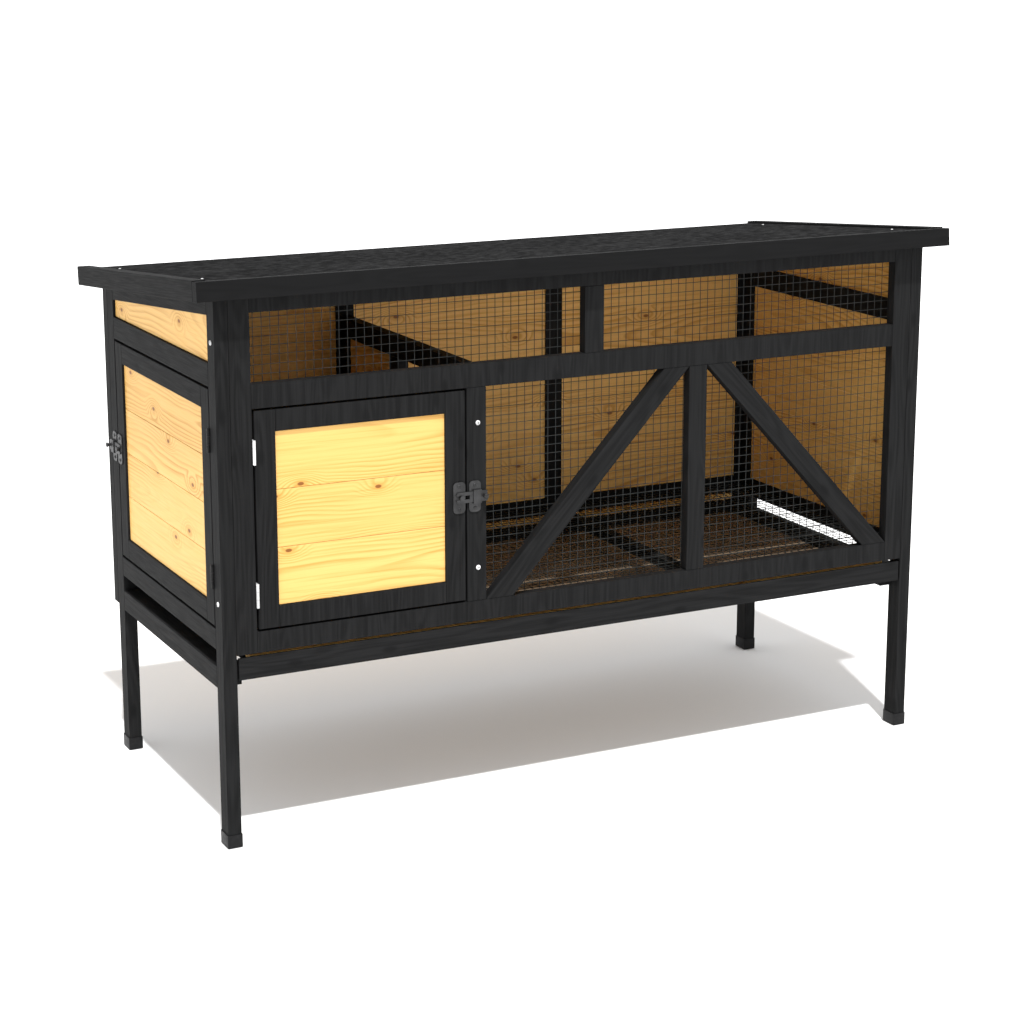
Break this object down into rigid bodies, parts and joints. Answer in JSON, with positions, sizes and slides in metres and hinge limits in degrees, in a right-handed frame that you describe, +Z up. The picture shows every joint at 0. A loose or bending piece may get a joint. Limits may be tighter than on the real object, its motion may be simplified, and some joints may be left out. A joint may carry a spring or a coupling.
{
  "type": "rabbit hutch",
  "caption": "Raised rabbit hutch on legs: boarded den with front and side doors, mesh-fronted run, sloping felted roof, mesh floor over a slide-out tray.",
  "frame": {"origin": "on the ground, below the centre of the bounding box", "axes": "+X along the hutch towards the run end, +Y from the front to the back, +Z up"},
  "size_m": [1.22, 0.5472, 0.8078],
  "materials": {
    "black_stained_wood": "black stain with the grain showing through",
    "pine": "clear-varnished knotty pine",
    "deck_board": "unfinished board",
    "bitumen_felt": "mineral-surfaced bitumen roofing felt",
    "black_plastic": "moulded",
    "dark_wire": "dark galvanised welded wire",
    "grey_zinc": "dull grey zinc plate",
    "white_zinc": "white",
    "black_painted_metal": "black paint"
  },
  "bodies": {
    "hutch": {"fascia_front": "black_stained_wood", "fascia_left": "black_stained_wood", "fascia_right": "black_stained_wood", "floor_bearer": "black_stained_wood", "floor_ledger_front": "pine", "floor_ledger_rear": "pine", "foot_cap_front_left": "black_plastic", "foot_cap_front_right": "black_plastic", "foot_cap_rear_left": "black_plastic", "foot_cap_rear_right": "black_plastic", "front_brace_left": "black_stained_wood", "front_brace_right": "black_stained_wood", "front_door_hinge_lower_fixed": "white_zinc", "front_door_hinge_upper_fixed": "white_zinc", "front_frame": "black_stained_wood", "front_latch_guide": "grey_zinc", "front_lower_rail": "black_stained_wood", "front_mullion": "black_stained_wood", "front_upright": "black_stained_wood", "left_bottom_rail": "black_stained_wood", "left_gable_board": "pine", "left_lower_rail": "black_stained_wood", "left_middle_rail": "black_stained_wood", "left_top_rail": "black_stained_wood", "leg_front_left": "black_stained_wood", "leg_front_right": "black_stained_wood", "leg_rear_left": "black_stained_wood", "leg_rear_right": "black_stained_wood", "mesh_floor": "dark_wire", "mesh_front_lower": "dark_wire", "mesh_front_upper": "dark_wire", "partition_boards": "pine", "partition_frame": "black_stained_wood", "rear_boards": "pine", "rear_frame": "black_stained_wood", "rear_lower_rail": "black_stained_wood", "right_boards": "pine", "right_bottom_rail": "black_stained_wood", "right_gable_board": "pine", "right_lower_rail": "black_stained_wood", "right_middle_rail": "black_stained_wood", "right_top_rail": "black_stained_wood", "roof_deck": "deck_board", "roof_felt": "bitumen_felt", "side_door_hinge_lower_fixed": "black_painted_metal", "side_door_hinge_upper_fixed": "black_painted_metal", "side_latch_guide": "grey_zinc"},
    "front_door": {"front_door_boards": "pine", "front_door_frame": "black_stained_wood", "front_door_hinge_lower_leaf": "white_zinc", "front_door_hinge_upper_leaf": "white_zinc", "front_latch_stud": "grey_zinc"},
    "side_door": {"side_door_boards": "pine", "side_door_frame": "black_stained_wood", "side_door_hinge_lower_leaf": "black_painted_metal", "side_door_hinge_upper_leaf": "black_painted_metal", "side_latch_stud": "grey_zinc"},
    "front_bolt": {"front_latch_bolt": "grey_zinc"},
    "side_bolt": {"side_latch_bolt": "grey_zinc"},
    "tray": {"tray": "black_stained_wood"}
  },
  "joints": [
    {"name": "front_door_hinge", "type": "hinge", "parent": "hutch", "child": "front_door", "pos_m": [-0.5267, -0.24906, 0.4642], "axis": [0, 0, -1], "range_deg": [0, 110]},
    {"name": "side_door_hinge", "type": "hinge", "parent": "hutch", "child": "side_door", "pos_m": [-0.5809, -0.21766, 0.486], "axis": [0, 0, 1], "range_deg": [0, 110]},
    {"name": "front_bolt_slide", "type": "slide", "parent": "hutch", "child": "front_bolt", "axis": [1, 0, 0], "range_m": [0, 0.018]},
    {"name": "side_bolt_slide", "type": "slide", "parent": "hutch", "child": "side_bolt", "axis": [0, 1, 0], "range_m": [0, 0.018]},
    {"name": "tray_slide", "type": "slide", "parent": "hutch", "child": "tray", "axis": [-1, 0, 0], "range_m": [0, 0.85]}
  ]
}
